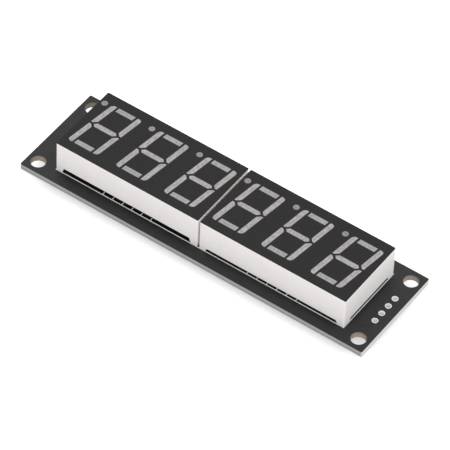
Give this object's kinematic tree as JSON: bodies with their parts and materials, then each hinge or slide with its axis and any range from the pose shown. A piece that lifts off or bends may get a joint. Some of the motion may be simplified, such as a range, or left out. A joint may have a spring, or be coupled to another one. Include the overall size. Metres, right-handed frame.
{
  "type": "seven segment display module",
  "caption": "Seven segment display module: circuit board with numeric LED displays side by side, a driver chip underneath, holes for a header at one end and corner mounting holes.",
  "frame": {"origin": "the middle of the mounting hole pattern, on the board's underside, which seats on the stand-offs", "axes": "+Z out of the displays' faces, +Y up the digits as they are read, +X along the row of digits away from the header end"},
  "size_m": [0.0898, 0.0258, 0.0125],
  "materials": {
    "board_mask": "satin black solder mask over glass fibre board",
    "white_print": "matt white ink",
    "tinned_copper": "dull bright tin over copper",
    "housing_white": "satin white moulded plastic",
    "face_black": "satin black ink",
    "segment_resin": "milky grey cast resin, satin",
    "lamp_board": "bare laminate",
    "lamp_chip": "polished chip",
    "pin_metal": "tinned wire",
    "solder": "bright solder",
    "chip_black": "matt moulded resin",
    "capacitor_ceramic": "fired tan ceramic with tinned ends",
    "resistor_black": "glazed black film with tinned ends"
  },
  "bodies": {
    "root": {"main_board": "board_mask", "outline_print": "white_print", "header_hole_1": "tinned_copper", "header_hole_2": "tinned_copper", "header_hole_3": "tinned_copper", "header_hole_4": "tinned_copper", "left_pin_holes": "tinned_copper", "right_pin_holes": "tinned_copper", "left_housing": "housing_white", "right_housing": "housing_white", "left_face": "face_black", "right_face": "face_black", "left_casting": "segment_resin", "right_casting": "segment_resin", "left_lamp_board": "lamp_board", "right_lamp_board": "lamp_board", "left_lamp_chips": "lamp_chip", "right_lamp_chips": "lamp_chip", "left_pins": "pin_metal", "right_pins": "pin_metal", "left_solder": "solder", "right_solder": "solder", "driver_chip": "chip_black", "driver_leads": "pin_metal", "supply_capacitor": "capacitor_ceramic", "bypass_capacitor": "capacitor_ceramic", "clock_capacitor": "capacitor_ceramic", "data_capacitor": "capacitor_ceramic", "clock_resistor": "resistor_black", "data_resistor": "resistor_black", "surface_pads": "tinned_copper", "surface_solder": "solder"}
  },
  "joints": []
}
